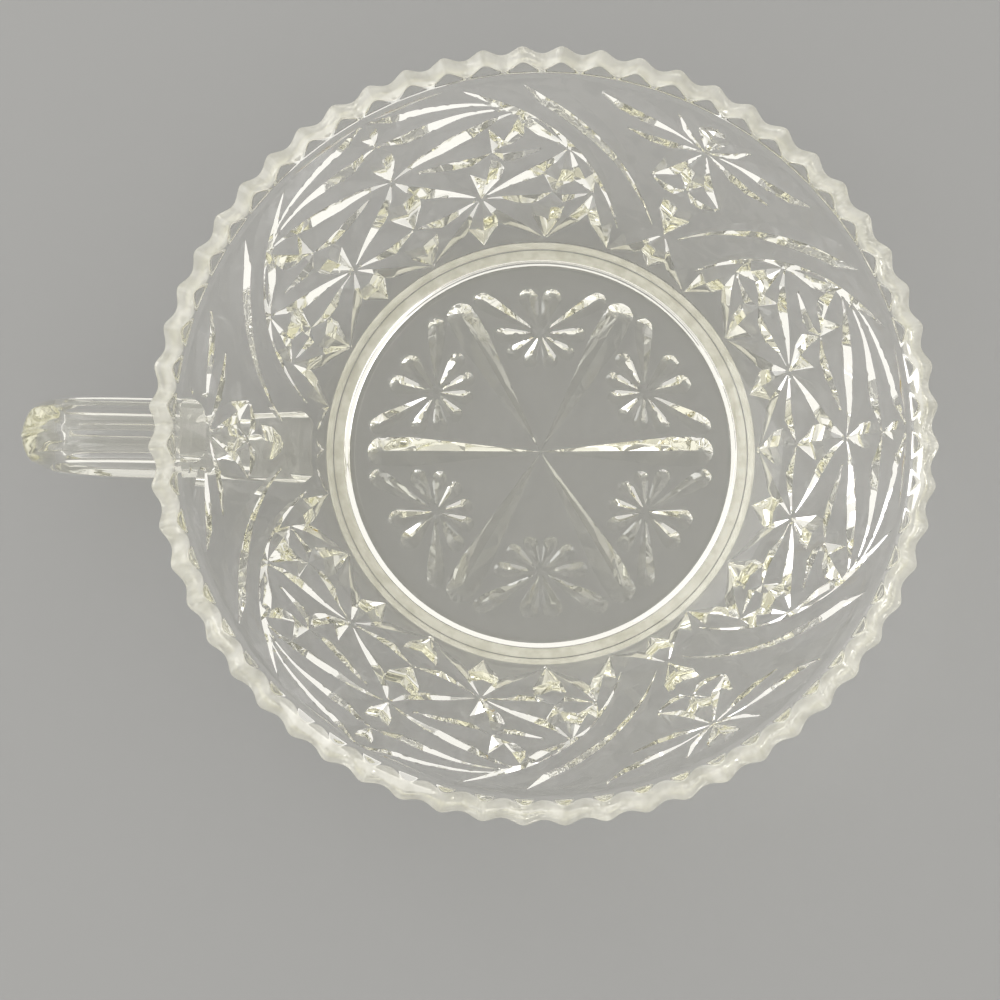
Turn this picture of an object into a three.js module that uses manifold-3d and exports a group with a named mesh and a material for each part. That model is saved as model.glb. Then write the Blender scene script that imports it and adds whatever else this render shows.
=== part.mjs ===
// A pressed-glass nappy: a shallow round bowl with a scalloped rim, a foot ring, a pressed mitre pattern on
// the outside of its wall, a pressed star under its base and one finger-loop handle.
// Millimetres, +Z up. The bowl stands on z = 0 with its handle towards -X, and the origin is the middle of
// the footprint, so the bowl's own axis lies a little towards +X.
import * as THREE from "three";
import { mergeVertices } from "three/addons/utils/BufferGeometryUtils.js";
import Module from "manifold-3d";

const wasm = await Module();
wasm.setup();

// Overall sizes
const RIM_RADIUS = 76;
const HEIGHT = 37;
const HANDLE_REACH = 103;

// Rim: a flared band whose end face leans a little outwards and is notched into scallops
const SCALLOPS = 60;
const SCALLOP_RISE = 1.6;
const SCALLOP_STEPS = 4;
const RIM_FACE_WIDTH = 4.1;
const RIM_FACE_TILT = THREE.MathUtils.degToRad(15);
const RIM_FLARE = THREE.MathUtils.degToRad(47);
const RIM_BAND_OUT = 3.2;
const RIM_BAND_HEIGHT = 2.6;

// Wall: its outside is one curve from the foot to the rim band
const WALL_TOP_THICKNESS = 3.1;
const WALL_FOOT_THICKNESS = 5;
const WALL_FOOT_RADIUS = 45.3;
const WALL_FOOT_HEIGHT = 3.2;
const BELLY_OUT_SHARE = 0.5;
const BELLY_UP_SHARE = 0.42;

// Foot ring, recessed base and inside floor
const FOOT_TAPER = 1;
const FOOT_WIDTH = 2.5;
const RECESS_TAPER = 3;
const RECESS_DEPTH = 2;
const FLOOR_THICKNESS = 5.5;
const FLOOR_BEND_SHARE = 0.24;
const FLOOR_BEND_REACH = 10;

// Pressed pattern
const REPEATS = 3;
const HALF_PANEL = 180 / REPEATS;
const MITRE_SLOPE = 0.7;
const CUTTER_LIFT = 0.35;
const CUTTER_STEP = 9;
const FLUTE_WIDE_SIDE = 3.2;
const FLUTE_NARROW_SIDE = 1.3;
const FLUTE_DEPTH = 1.2;
const BASE_PANELS = 6;

// Handle: a loop with chamfered sides, two flutes along its top and a crowned bend
const HANDLE_WIDTH = 13.6;
const HANDLE_FACE_WIDTH = 9.5;
const HANDLE_THICKNESS = 5;
const HANDLE_CROWN = 3;
const HANDLE_TOP_HEIGHT = 28.5;
const HANDLE_RISE = 4.5;
const HANDLE_TURN_HEIGHT = 24;
const HANDLE_FOOT_HEIGHT = 8.5;
const HANDLE_ROOT_FLARE = 0.2;
const HANDLE_ROOT_SINK = 6;
const HANDLE_FLUTE_DEPTH = 0.9;
const HANDLE_RIB_WIDTH = 1;
const HANDLE_STATIONS = 30;
const SEAT_GAP = 0.3;

const LATHE_SEGMENTS = 60;
const WALL_STEPS = 5;
const FLOOR_BEND_STEPS = 3;

// Solids

function solidOf(geometry) {
  const bare = new THREE.BufferGeometry();
  bare.setAttribute("position", geometry.getAttribute("position"));
  bare.setIndex(geometry.index);
  const merged = mergeVertices(bare, 1e-4);
  const corners = [];
  for (let i = 0; i < merged.index.count; i += 3) {
    const [a, b, c] = merged.index.array.slice(i, i + 3);
    if (a !== b && b !== c && c !== a) corners.push(a, b, c);
  }
  const vertProperties = new Float32Array(merged.getAttribute("position").array);
  const triVerts = new Uint32Array(corners);
  return new wasm.Manifold(new wasm.Mesh({ numProp: 3, vertProperties, triVerts }));
}

function geometryOf(solid) {
  const { vertProperties, triVerts } = solid.getMesh();
  const geometry = new THREE.BufferGeometry();
  geometry.setAttribute("position", new THREE.BufferAttribute(vertProperties, 3));
  geometry.setIndex(new THREE.BufferAttribute(triVerts, 1));
  return geometry;
}

// A closed skin over rings of equal count, each end drawn to a point.
function loft(startPoint, rings, endPoint) {
  const count = rings[0].length;
  const points = [startPoint, ...rings.flat(), endPoint];
  const last = points.length - 1;
  const at = (ring, corner) => 1 + ring * count + (corner % count);
  const index = [];
  for (let corner = 0; corner < count; corner++) {
    index.push(0, at(0, corner + 1), at(0, corner));
    for (let ring = 0; ring + 1 < rings.length; ring++) {
      index.push(at(ring, corner), at(ring, corner + 1), at(ring + 1, corner + 1));
      index.push(at(ring, corner), at(ring + 1, corner + 1), at(ring + 1, corner));
    }
    index.push(at(rings.length - 1, corner), at(rings.length - 1, corner + 1), last);
  }
  const geometry = new THREE.BufferGeometry().setFromPoints(points);
  geometry.setIndex(index);
  return geometry;
}

function outwardAt(azimuth) {
  const angle = THREE.MathUtils.degToRad(azimuth);
  return new THREE.Vector3(Math.cos(angle), Math.sin(angle), 0);
}

// A ring of points about Z. The profile gives the (radius, height) at each step round the ring.
function ringOf(count, profile) {
  return Array.from({ length: count }, (_, i) => {
    const { x: radius, y: height } = profile(i / count);
    return outwardAt((360 * i) / count).multiplyScalar(radius).setZ(height);
  });
}

// A closed skin over rings about Z that may differ in count, from a point on the axis to another.
function revolvedSkin(rings) {
  const starts = rings.map((_, i) => rings.slice(0, i).flat().length);
  const index = [];
  for (let k = 0; k + 1 < rings.length; k++) {
    const lower = rings[k].length;
    const upper = rings[k + 1].length;
    for (let i = 0, j = 0; i < lower || j < upper;) {
      const a = starts[k] + (i % lower);
      const b = starts[k + 1] + (j % upper);
      if (j === upper || (i < lower && (i + 0.5) / lower < (j + 0.5) / upper)) {
        i += 1;
        index.push(a, starts[k] + (i % lower), b);
      } else {
        j += 1;
        index.push(a, starts[k + 1] + (j % upper), b);
      }
    }
  }
  const geometry = new THREE.BufferGeometry().setFromPoints(rings.flat());
  geometry.setIndex(index);
  return geometry;
}

// The bowl's section, as (radius, height)

const flareAlong = new THREE.Vector2(Math.cos(RIM_FLARE), Math.sin(RIM_FLARE));
const faceInward = new THREE.Vector2(-Math.cos(RIM_FACE_TILT), Math.sin(RIM_FACE_TILT));
const rimOuterCrest = new THREE.Vector2(RIM_RADIUS, HEIGHT - RIM_FACE_WIDTH * faceInward.y);
const rimInnerCrest = rimOuterCrest.clone().addScaledVector(faceInward, RIM_FACE_WIDTH);
const rimOuterCrease = rimOuterCrest.clone().addScaledVector(flareAlong, -SCALLOP_RISE);
const wallFoot = new THREE.Vector2(WALL_FOOT_RADIUS, WALL_FOOT_HEIGHT);
const wallTop = rimOuterCrease.clone().sub(new THREE.Vector2(RIM_BAND_OUT, RIM_BAND_HEIGHT));
const wallBelly = new THREE.Vector2(
  THREE.MathUtils.lerp(wallFoot.x, wallTop.x, BELLY_OUT_SHARE),
  THREE.MathUtils.lerp(wallFoot.y, wallTop.y, BELLY_UP_SHARE),
);
const wallLine = new THREE.QuadraticBezierCurve(wallFoot, wallBelly, wallTop);
const wallLength = wallLine.getLength();
const footOuterRadius = WALL_FOOT_RADIUS - FOOT_TAPER;
const footInnerRadius = footOuterRadius - FOOT_WIDTH;
const recessRadius = footInnerRadius - RECESS_TAPER;
const floorHeight = RECESS_DEPTH + FLOOR_THICKNESS;

// A point of the section at a share of the wall's slant length, lifted outwards by a distance.
function wallSection(share, lift) {
  const within = THREE.MathUtils.clamp(share, 0, 1);
  const along = wallLine.getTangentAt(within);
  const point = wallLine.getPointAt(within).addScaledVector(along, (share - within) * wallLength);
  return point.add(new THREE.Vector2(along.y, -along.x).multiplyScalar(lift));
}

function wallThickness(share) {
  return THREE.MathUtils.lerp(WALL_FOOT_THICKNESS, WALL_TOP_THICKNESS, share);
}

function stepsBetween(first, last, count) {
  return Array.from({ length: count + 1 }, (_, i) => THREE.MathUtils.lerp(first, last, i / count));
}

function outerSection(lift) {
  return [
    new THREE.Vector2(footOuterRadius + lift, 0),
    ...stepsBetween(0, 1, WALL_STEPS).map((share) => wallSection(share, lift)),
  ];
}

function innerSection() {
  const wall = stepsBetween(1, FLOOR_BEND_SHARE, WALL_STEPS)
    .map((share) => wallSection(share, -wallThickness(share)));
  const bendStart = wall[wall.length - 1];
  const bendCorner = new THREE.Vector2(wallSection(0, -WALL_FOOT_THICKNESS).x, floorHeight);
  const bendEnd = new THREE.Vector2(bendCorner.x - FLOOR_BEND_REACH, floorHeight);
  const bend = new THREE.QuadraticBezierCurve(bendStart, bendCorner, bendEnd);
  return [...wall, ...bend.getPoints(FLOOR_BEND_STEPS).slice(1)];
}

// How far the rim's edge falls below its crests, at a share of the way round: rounded scoops that meet in
// crests.
function scallopFall(turn) {
  const toScoop = 1 - Math.abs(2 * ((turn * SCALLOPS) % 1) - 1);
  return SCALLOP_RISE * (1 - toScoop * toScoop);
}

function bowlBlank() {
  const plain = (point) => ringOf(LATHE_SEGMENTS, () => point);
  const edge = (crest) => ringOf(SCALLOPS * SCALLOP_STEPS, (turn) => (
    crest.clone().addScaledVector(flareAlong, -scallopFall(turn))
  ));
  const pole = (height) => [new THREE.Vector3(0, 0, height)];
  return solidOf(revolvedSkin([
    pole(RECESS_DEPTH),
    plain(new THREE.Vector2(recessRadius, RECESS_DEPTH)),
    plain(new THREE.Vector2(footInnerRadius, 0)),
    ...outerSection(0).map(plain),
    edge(rimOuterCrest),
    edge(rimInnerCrest),
    ...innerSection().map(plain),
    pole(floorHeight),
  ]));
}

// The wall's outside as a filled solid, grown by the seat gap, to trim the handle's roots.
function bowlEnvelope() {
  const outer = [...outerSection(SEAT_GAP), rimOuterCrest.clone().addScaledVector(faceInward, -SEAT_GAP)];
  const profile = [new THREE.Vector2(0, 0), ...outer, new THREE.Vector2(0, outer[outer.length - 1].y)];
  return solidOf(new THREE.LatheGeometry(profile, LATHE_SEGMENTS).rotateX(Math.PI / 2));
}

// Pressed pattern: V grooves that follow a surface

// The wall's outside at an azimuth in degrees and a share of the slant length.
function onWall(azimuth, share, lift) {
  const section = wallSection(share, lift);
  return outwardAt(azimuth).multiplyScalar(section.x).setZ(section.y);
}

// The recessed base's underside at a place in its own plane.
function onBase(x, y, lift) {
  return new THREE.Vector3(x, y, RECESS_DEPTH - lift);
}

// A cutter for a V groove along a path on a surface. The groove is deepest between the end of its rise and
// the start of its fall, and its sides meet the surface in straight slopes that run out at both ends.
function grooveCutter(surface, path, groove) {
  const { left, right, depth, rise, fall } = groove;
  const over = CUTTER_LIFT / depth;
  const fullness = (s) => Math.min(1, s / rise, (1 - s) / fall);
  const point = (s, lift) => surface(...path(s), lift);
  const ring = (s) => {
    const ahead = point(s + 0.01, 0).sub(point(s - 0.01, 0)).normalize();
    const out = point(s, 1).sub(point(s, 0));
    const aside = new THREE.Vector3().crossVectors(ahead, out).normalize();
    const reach = fullness(s) + over;
    const top = point(s, CUTTER_LIFT);
    return [
      top.clone().addScaledVector(aside, -left * reach),
      top.clone().addScaledVector(aside, right * reach),
      point(s, -depth * fullness(s)),
    ];
  };
  const first = -rise * over;
  const last = 1 + fall * over;
  const ends = [first, rise, 1 - fall, last].filter((s, i, all) => i === 0 || s - all[i - 1] > 1e-6);
  const stations = ends.slice(1).flatMap((end, i) => (
    stepsBetween(ends[i], end, Math.ceil((end - ends[i]) / groove.step)).slice(1)
  ));
  const rings = stations.slice(0, -1).map(ring);
  return solidOf(loft(point(first, CUTTER_LIFT), rings, point(last, CUTTER_LIFT)));
}

// A kite-shaped mitre: straight on the surface, widest at a share of its length.
function mitre(surface, from, to, halfWidth, widest, step) {
  const path = (s) => [THREE.MathUtils.lerp(from[0], to[0], s), THREE.MathUtils.lerp(from[1], to[1], s)];
  const groove = { left: halfWidth, right: halfWidth, depth: halfWidth * MITRE_SLOPE, step };
  return grooveCutter(surface, path, { ...groove, rise: widest, fall: 1 - widest });
}

// Knots of the wall pattern, as degrees from a panel's middle and shares of the wall's slant length.
// A panel's middle is at 0 and the big star between two panels is at the half panel.
const KNOTS = {
  panelTop: [0, 0.98],
  panelWaist: [0, 0.83],
  panelHeart: [0, 0.6],
  panelKnee: [0, 0.28],
  panelFoot: [0, 0.02],
  fanTip: [26.8, 0.8],
  smallHub: [20.4, 0.57],
  bandMiddle: [35.5, 0.585],
  starHub: [16.6, 0.31],
  kiteHub: [32.8, 0.315],
  bandLow: [41.8, 0.335],
  footNear: [14.9, 0.02],
  footMiddle: [31.3, 0.02],
  footFar: [48.2, 0.015],
  bigStar: [HALF_PANEL, 0.795],
  starSide: [52.2, 0.54],
  starBelow: [HALF_PANEL, 0.54],
  lowStar: [HALF_PANEL, 0.25],
  lowStarFoot: [HALF_PANEL, 0.015],
  rayTop: [HALF_PANEL, 0.95],
  rayShort: [53, 0.94],
  rayLong: [39.4, 0.94],
  raySide: [45, 0.76],
};

// Each mitre runs between two knots, with its half width and the share of its length where it is widest.
const WALL_MITRES = [
  ["panelTop", "panelWaist", 1.4, 0.4],
  ["panelWaist", "panelHeart", 2, 0.4],
  ["panelHeart", "panelKnee", 2.9, 0.5],
  ["panelKnee", "panelFoot", 4, 0.42],
  ["panelTop", "fanTip", 2.2, 0.3],
  ["panelWaist", "fanTip", 2.4, 0.25],
  ["panelHeart", "fanTip", 2.5, 0.5],
  ["panelHeart", "smallHub", 1.9, 0.8],
  ["smallHub", "bandMiddle", 1.9, 0.18],
  ["fanTip", "smallHub", 2.7, 0.5],
  ["fanTip", "bandMiddle", 2, 0.3],
  ["bandMiddle", "starHub", 2.4, 0.22],
  ["bandMiddle", "kiteHub", 2.6, 0.55],
  ["bandMiddle", "bandLow", 2, 0.5],
  ["starHub", "smallHub", 2.6, 0.65],
  ["starHub", "panelHeart", 2.4, 0.78],
  ["starHub", "panelKnee", 2.3, 0.5],
  ["starHub", "panelFoot", 2.2, 0.35],
  ["starHub", "footNear", 2.6, 0.45],
  ["starHub", "footMiddle", 2.2, 0.27],
  ["starHub", "kiteHub", 2, 0.75],
  ["kiteHub", "bandLow", 1.9, 0.3],
  ["kiteHub", "footMiddle", 2.8, 0.32],
  ["bandLow", "footMiddle", 2.1, 0.3],
  ["bandLow", "footFar", 1.9, 0.35],
  ["bigStar", "rayTop", 2.6, 0.8],
  ["bigStar", "rayShort", 1.2, 0.5],
  ["bigStar", "rayLong", 1.7, 0.73],
  ["bigStar", "raySide", 1.5, 0.55],
  ["bigStar", "starSide", 1.8, 0.5],
  ["bigStar", "starBelow", 2.2, 0.6],
  ["starSide", "starBelow", 1.5, 0.62],
  ["starBelow", "lowStar", 2.8, 0.38],
  ["lowStar", "lowStarFoot", 2.5, 0.5],
  ["lowStar", "footFar", 2, 0.45],
];

// Two swirl flutes sweep from the rim down to the foot on each side of a panel, as start, bend and end.
const SWIRL_FLUTES = [
  { start: [16, 0.97], bend: [38, 0.72], end: [50.2, 0.12] },
  { start: [27, 0.95], bend: [42, 0.72], end: [57.5, 0.24] },
];

function swirlFlute(flute, place, side) {
  const corners = [flute.start, flute.bend, flute.end].map((knot) => new THREE.Vector2(...place(knot)));
  const curve = new THREE.QuadraticBezierCurve(...corners);
  const sides = side > 0
    ? { left: FLUTE_NARROW_SIDE, right: FLUTE_WIDE_SIDE }
    : { left: FLUTE_WIDE_SIDE, right: FLUTE_NARROW_SIDE };
  const groove = { ...sides, depth: FLUTE_DEPTH, rise: 0.35, fall: 0.12, step: 0.17 };
  return grooveCutter(onWall, (s) => curve.getPoint(s).toArray(), groove);
}

function wallCutters() {
  const cutters = [];
  for (let repeat = 0; repeat < REPEATS; repeat++) {
    for (const side of [1, -1]) {
      const place = ([azimuth, share]) => [repeat * 2 * HALF_PANEL + side * azimuth, share];
      for (const [from, to, halfWidth, widest] of WALL_MITRES) {
        const span = Math.abs(KNOTS[to][0] - KNOTS[from][0]);
        const onMirror = span === 0;
        if (onMirror && side < 0) continue;
        const step = CUTTER_STEP / Math.max(span, CUTTER_STEP);
        cutters.push(mitre(onWall, place(KNOTS[from]), place(KNOTS[to]), halfWidth, widest, step));
      }
      cutters.push(...SWIRL_FLUTES.map((flute) => swirlFlute(flute, place, side)));
    }
  }
  return cutters;
}

// Base pattern, in shares of the recess radius: six radial mitres and, between them, six rosettes
const BASE_RAY = { length: 0.93, halfWidth: 0.08, widest: 0.8 };
const ROSETTE_CENTRE = 0.645;
const ROSETTE_PETALS = [
  { turn: 18, length: 0.26, halfWidth: 0.052, widest: 0.65 },
  { turn: 60, length: 0.41, halfWidth: 0.048, widest: 0.65 },
  { turn: 93, length: 0.25, halfWidth: 0.042, widest: 0.65 },
  { turn: 127, length: 0.22, halfWidth: 0.04, widest: 0.6 },
  { turn: 160, length: 0.2, halfWidth: 0.04, widest: 0.6 },
];

function baseMitre(azimuth, start, turn, part) {
  const from = outwardAt(azimuth).multiplyScalar(start * recessRadius);
  const to = from.clone().addScaledVector(outwardAt(azimuth + turn), part.length * recessRadius);
  const ends = [[from.x, from.y], [to.x, to.y]];
  return mitre(onBase, ...ends, part.halfWidth * recessRadius, part.widest, 1);
}

function baseCutters() {
  const cutters = [];
  const panel = 360 / BASE_PANELS;
  for (let i = 0; i < BASE_PANELS; i++) {
    cutters.push(baseMitre(i * panel, 0, 0, BASE_RAY));
    for (const petal of ROSETTE_PETALS) {
      for (const side of [1, -1]) {
        cutters.push(baseMitre((i + 0.5) * panel, ROSETTE_CENTRE, side * petal.turn, petal));
      }
    }
  }
  return cutters;
}

// Handle: a loft along a loop in the XZ plane, from under the rim round to the foot

function wallShareAt(height) {
  return (height - wallFoot.y) / (wallTop.y - wallFoot.y);
}

function handleLine() {
  const turn = HANDLE_REACH - HANDLE_THICKNESS / 2 - HANDLE_CROWN;
  const topRoot = wallSection(wallShareAt(HANDLE_TOP_HEIGHT), -HANDLE_ROOT_SINK).x;
  const footRoot = wallSection(wallShareAt(HANDLE_FOOT_HEIGHT), -HANDLE_ROOT_SINK).x;
  const arm = turn - wallTop.x;
  const along = (radius, height) => new THREE.Vector3(-radius, 0, height);
  const line = new THREE.CurvePath();
  line.add(new THREE.CubicBezierCurve3(
    along(topRoot, HANDLE_TOP_HEIGHT),
    along(turn - 0.4 * arm, HANDLE_TOP_HEIGHT + HANDLE_RISE),
    along(turn, HANDLE_TOP_HEIGHT + HANDLE_RISE),
    along(turn, HANDLE_TURN_HEIGHT),
  ));
  line.add(new THREE.CubicBezierCurve3(
    along(turn, HANDLE_TURN_HEIGHT),
    along(turn, HANDLE_FOOT_HEIGHT + HANDLE_THICKNESS / 2),
    along(turn - 0.6 * arm, HANDLE_FOOT_HEIGHT),
    along(footRoot, HANDLE_FOOT_HEIGHT),
  ));
  return line;
}

// The handle's section as (across, outwards) corners, for a width factor, a share of the flutes' depth and a
// share of the crown, which swells the outer side into a half oval.
function handleSection(width, fluting, crowned) {
  const side = (width * HANDLE_WIDTH) / 2;
  const face = (width * HANDLE_FACE_WIDTH) / 2;
  const top = HANDLE_THICKNESS / 2;
  const rib = HANDLE_RIB_WIDTH / 2;
  const flute = fluting * HANDLE_FLUTE_DEPTH;
  const crown = crowned * HANDLE_CROWN;
  const half = [
    [rib, top + crown],
    [THREE.MathUtils.lerp(rib, face, 0.2), top - 0.6 * flute + 0.96 * crown],
    [THREE.MathUtils.lerp(rib, face, 0.45), top - flute + 0.87 * crown],
    [THREE.MathUtils.lerp(rib, face, 0.75), top - 0.6 * flute + 0.68 * crown],
    [face, top + 0.44 * crown],
    [side, 0],
    [face, -top],
  ];
  const mirrored = half.map(([across, out]) => [-across, out]).reverse();
  return [...half, ...mirrored];
}

function handleBlank() {
  const line = handleLine();
  const across = new THREE.Vector3(0, 1, 0);
  const rings = stepsBetween(0, 1, HANDLE_STATIONS).map((s) => {
    const centre = line.getPointAt(s);
    const ahead = line.getTangentAt(s);
    const outwards = new THREE.Vector3().crossVectors(across, ahead);
    const width = 1 + HANDLE_ROOT_FLARE * THREE.MathUtils.smoothstep(s, 0.7, 1);
    const fluting = 1 - THREE.MathUtils.smoothstep(s, 0.27, 0.34);
    const crowned = THREE.MathUtils.smoothstep(s, 0.27, 0.42) - THREE.MathUtils.smoothstep(s, 0.7, 0.9);
    return handleSection(width, fluting, crowned).map(([sideways, out]) => (
      centre.clone().addScaledVector(across, sideways).addScaledVector(outwards, out)
    ));
  });
  return solidOf(loft(line.getPoint(0), rings, line.getPoint(1)));
}

// Assembly

function glass() {
  return new THREE.MeshStandardMaterial({ color: 0xe9eae4, roughness: 0.04, metalness: 0 });
}

const handleSolid = handleBlank();
const pattern = wasm.Manifold.union([...wallCutters(), ...baseCutters()]).subtract(handleSolid);
const bowlSolid = bowlBlank().subtract(pattern);

const bowl = new THREE.Mesh(geometryOf(bowlSolid), glass());
bowl.name = "bowl";

const handle = new THREE.Mesh(geometryOf(handleSolid.subtract(bowlEnvelope())), glass());
handle.name = "handle";

const nappy = new THREE.Group();
nappy.position.x = (HANDLE_REACH - RIM_RADIUS) / 2;
nappy.add(bowl, handle);

export default nappy;
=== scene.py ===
"""A clear pressed-glass nappy bowl on a pale floor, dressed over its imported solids.

Shapes are worked out in millimetres about the bowl's own axis, and put into meshes in metres in the row
frame. The bowl is one closed glass skin and the handle another, sunk a hair into the bowl's wall.
"""

import logging
import math
from dataclasses import dataclass, field, replace
from enum import Enum
from functools import cached_property

import bpy
import numpy as np
from mathutils import Matrix, Vector
from numpy.typing import NDArray


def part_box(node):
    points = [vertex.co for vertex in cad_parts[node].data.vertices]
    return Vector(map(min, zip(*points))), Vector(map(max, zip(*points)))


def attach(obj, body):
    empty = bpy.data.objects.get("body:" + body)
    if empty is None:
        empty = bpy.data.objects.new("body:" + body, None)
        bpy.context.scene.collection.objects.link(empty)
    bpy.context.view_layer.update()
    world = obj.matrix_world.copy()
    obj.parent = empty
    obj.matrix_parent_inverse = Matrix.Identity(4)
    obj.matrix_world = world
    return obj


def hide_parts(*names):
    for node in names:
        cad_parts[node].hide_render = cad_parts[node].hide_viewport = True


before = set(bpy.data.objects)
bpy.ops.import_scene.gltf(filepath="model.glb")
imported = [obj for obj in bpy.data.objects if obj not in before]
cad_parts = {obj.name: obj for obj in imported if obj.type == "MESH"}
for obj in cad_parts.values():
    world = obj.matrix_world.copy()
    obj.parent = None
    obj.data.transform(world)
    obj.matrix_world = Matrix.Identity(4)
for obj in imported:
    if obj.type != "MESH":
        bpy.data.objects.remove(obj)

Array = NDArray[np.float64]
Numbers = NDArray[np.int64]
Mask = NDArray[np.bool_]
Pair = tuple[float, float]
Colour = tuple[float, float, float]
Place = tuple[float, float, float]

MM = 0.001
WALL_POINTS = 801
LOOP_POINTS = 401
GROOVE_POINTS = 25
ON_EDGE = 1e-6
log = logging.getLogger("nappy")


class Root(Enum):
    """The two places where the handle meets the wall."""

    UNDER_RIM = "under_rim"
    NEAR_FOOT = "near_foot"


def lerp(first: float, last: float, share: float) -> float:
    """The value a share of the way from the first to the last."""
    return first + (last - first) * share


def smooth_step(value: Array, low: float, high: float) -> Array:
    """An eased ramp: 0 below low, 1 above high, with level ends."""
    share = np.clip((value - low) / (high - low), 0.0, 1.0)
    return share * share * (3.0 - 2.0 * share)


def bend(start: Array, corner: Array, end: Array, share: Array) -> Array:
    """A quadratic curve: start and end weighted by squares, the corner by twice their product.

    Args:
        start: First point, or points, with coordinates on the last axis.
        corner: Point that the curve bends towards.
        end: Last point.
        share: Places along the curve, from 0 to 1.

    Returns:
        The points, with one new leading axis for the places.
    """
    places = share.reshape((-1,) + (1,) * np.ndim(start))
    left = 1.0 - places
    return left * left * start + 2.0 * left * places * corner + places * places * end


def rounded_path(corners: list[Array], radii: tuple[float, ...], steps: int) -> Array:
    """A path of straight runs whose inner corners are rounded by quadratic curves.

    Args:
        corners: Points of the path, each a pair or an array of pairs.
        radii: How far each inner corner is cut back along its two runs.
        steps: Steps along each rounding.

    Returns:
        The path's points, stacked on the first axis.
    """
    rows = [corners[0][None]]
    places = np.linspace(0.0, 1.0, steps + 1)
    for before, corner, after, radius in zip(corners, corners[1:], corners[2:], radii):
        back = before - corner
        ahead = after - corner
        back = back / np.linalg.norm(back, axis=-1, keepdims=True)
        ahead = ahead / np.linalg.norm(ahead, axis=-1, keepdims=True)
        rows.append(bend(corner + radius * back, corner, corner + radius * ahead, places))
    rows.append(corners[-1][None])
    return np.concatenate(rows)


def band_cells(low: Numbers, high: Numbers) -> Numbers:
    """Two triangles for each cell between rings of equal count, as six numbers on a new last axis."""
    low_next, high_next = np.roll(low, -1, -1), np.roll(high, -1, -1)
    return np.stack([low, low_next, high_next, low, high_next, high], axis=-1)


def fan_cells(ring: Numbers, hub: int) -> Numbers:
    """A triangle from each side of a ring to one point."""
    return np.stack([ring, np.roll(ring, -1), np.full(ring.shape, hub)], axis=-1)


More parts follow.
